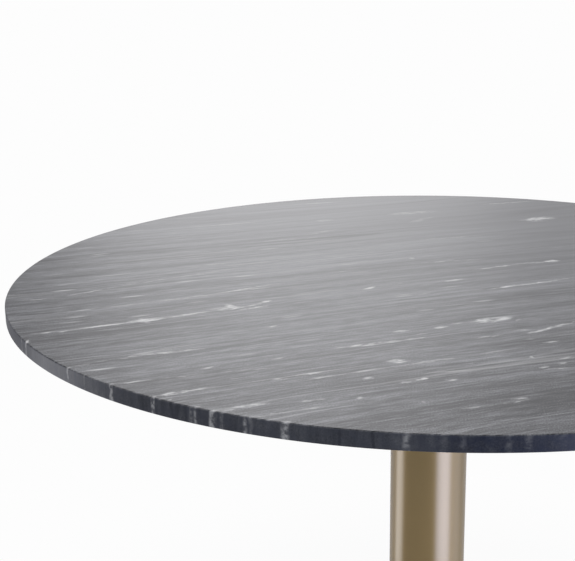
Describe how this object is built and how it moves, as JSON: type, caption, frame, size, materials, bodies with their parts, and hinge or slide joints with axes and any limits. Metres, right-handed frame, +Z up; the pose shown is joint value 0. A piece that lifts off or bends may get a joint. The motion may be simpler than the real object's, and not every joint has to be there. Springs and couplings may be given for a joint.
{
  "type": "round pedestal table",
  "caption": "Round table with a thin honed stone top on a straight tubular metal column, a low domed weighted base and screw-in levelling glides.",
  "frame": {"origin": "on the floor under the column's axis, the lowest point of the table", "axes": "+Z up along the column; X and Y lie in the floor, level with the four glides at 45 degrees to them, and the marble's veins run about 26 degrees from +X towards +Y"},
  "size_m": [1.1998, 1.2, 0.75],
  "materials": {
    "honed_marble": "honed",
    "bronze_plated_steel": "satin bronze plating",
    "black_powder_coat": "fine textured powder coat",
    "cast_iron": "black primer over the casting",
    "zinc_plated_steel": "zinc plated",
    "black_oxide_steel": "black oxide",
    "brass": "machined",
    "gasket_rubber": "matt",
    "wool_felt": "pressed felt",
    "black_nylon": "moulded"
  },
  "bodies": {
    "table": {"stone_top": "honed_marble", "stone_inserts": "brass", "plate_gasket": "gasket_rubber", "top_plate": "black_powder_coat", "top_plate_gussets": "black_powder_coat", "top_plate_sleeve": "black_powder_coat", "top_plate_screws": "zinc_plated_steel", "top_plate_washers": "zinc_plated_steel", "sleeve_grub_screws": "black_oxide_steel", "top_plate_weld_nut": "black_powder_coat", "column_tube": "bronze_plated_steel", "column_foot_plug": "black_oxide_steel", "column_collar": "bronze_plated_steel", "tie_rod": "zinc_plated_steel", "tie_rod_washer": "zinc_plated_steel", "tie_rod_spring_washer": "black_oxide_steel", "tie_rod_nut": "zinc_plated_steel", "base_cover": "bronze_plated_steel", "cover_felt_ring": "wool_felt", "base_weight": "cast_iron", "glide_bushes": "zinc_plated_steel"},
    "foot_1": {"glide_foot_1": "black_nylon", "glide_felt_1": "wool_felt"},
    "stud_1": {"glide_stud_1": "zinc_plated_steel"},
    "foot_2": {"glide_foot_2": "black_nylon", "glide_felt_2": "wool_felt"},
    "stud_2": {"glide_stud_2": "zinc_plated_steel"},
    "foot_3": {"glide_foot_3": "black_nylon", "glide_felt_3": "wool_felt"},
    "stud_3": {"glide_stud_3": "zinc_plated_steel"},
    "foot_4": {"glide_foot_4": "black_nylon", "glide_felt_4": "wool_felt"},
    "stud_4": {"glide_stud_4": "zinc_plated_steel"}
  },
  "joints": [
    {"name": "glide_1_travel", "type": "slide", "parent": "table", "child": "foot_1", "axis": [0, 0, 1], "range_m": [-0.008, 0]},
    {"name": "glide_1_turn", "type": "hinge", "parent": "foot_1", "child": "stud_1", "pos_m": [0.19092, 0.19092, 0.011], "axis": [0, 0, 1], "range_deg": [-1920, 0]},
    {"name": "glide_2_travel", "type": "slide", "parent": "table", "child": "foot_2", "axis": [0, 0, 1], "range_m": [-0.008, 0]},
    {"name": "glide_2_turn", "type": "hinge", "parent": "foot_2", "child": "stud_2", "pos_m": [-0.19092, 0.19092, 0.011], "axis": [0, 0, 1], "range_deg": [-1920, 0]},
    {"name": "glide_3_travel", "type": "slide", "parent": "table", "child": "foot_3", "axis": [0, 0, 1], "range_m": [-0.008, 0]},
    {"name": "glide_3_turn", "type": "hinge", "parent": "foot_3", "child": "stud_3", "pos_m": [-0.19092, -0.19092, 0.011], "axis": [0, 0, 1], "range_deg": [-1920, 0]},
    {"name": "glide_4_travel", "type": "slide", "parent": "table", "child": "foot_4", "axis": [0, 0, 1], "range_m": [-0.008, 0]},
    {"name": "glide_4_turn", "type": "hinge", "parent": "foot_4", "child": "stud_4", "pos_m": [0.19092, -0.19092, 0.011], "axis": [0, 0, 1], "range_deg": [-1920, 0]}
  ],
  "couplings": [
    {"joint": "glide_1_turn", "follows": "glide_1_travel", "rad_per_m": 4188.8},
    {"joint": "glide_2_turn", "follows": "glide_2_travel", "rad_per_m": 4188.8},
    {"joint": "glide_3_turn", "follows": "glide_3_travel", "rad_per_m": 4188.8},
    {"joint": "glide_4_turn", "follows": "glide_4_travel", "rad_per_m": 4188.8}
  ]
}
